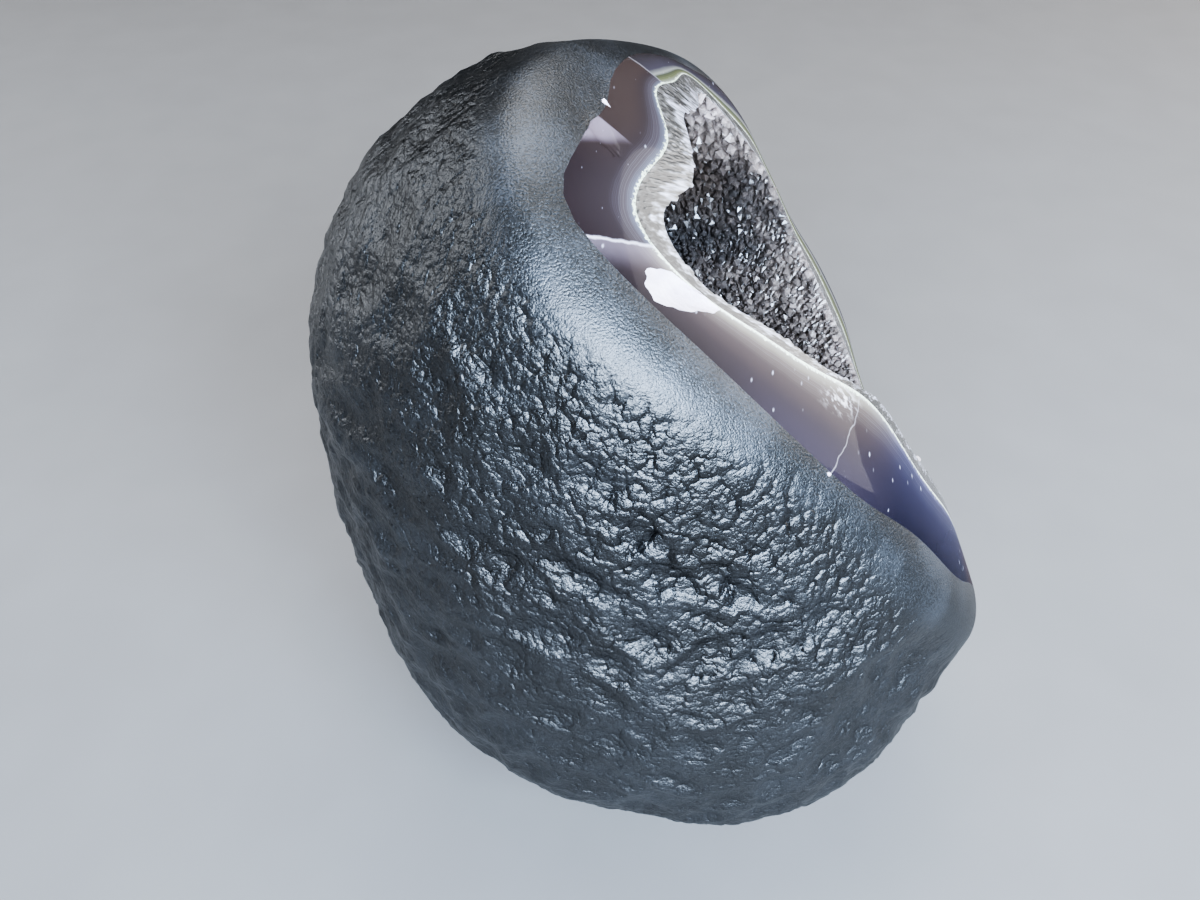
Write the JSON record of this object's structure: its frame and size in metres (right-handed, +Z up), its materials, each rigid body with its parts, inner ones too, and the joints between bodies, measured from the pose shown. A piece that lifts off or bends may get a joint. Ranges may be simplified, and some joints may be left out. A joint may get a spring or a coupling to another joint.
{
  "type": "geode half",
  "caption": "Dark-rinded geode on a flat base, with a polished, domed agate face that opens on a crystal-lined hollow.",
  "frame": {"origin": "under the middle of the stone's bounding box, on the surface it rests on", "axes": "+Z up, +X the way the polished face mainly looks, +Y away from the picture's camera"},
  "size_m": [0.1506, 0.1446, 0.1722],
  "materials": {
    "basalt": "dark blue-grey rock with a fine sandy grain, satin, ground smooth beside the polished face",
    "agate": "polished, slightly translucent banded agate in mauve grey, cream and deep blue",
    "quartz": "glassy grey to lilac-white quartz crystals with sharp flat faces"
  },
  "bodies": {
    "root": {"rind": "basalt", "agate_wall": "agate", "crystal_crust": "quartz"}
  },
  "joints": []
}
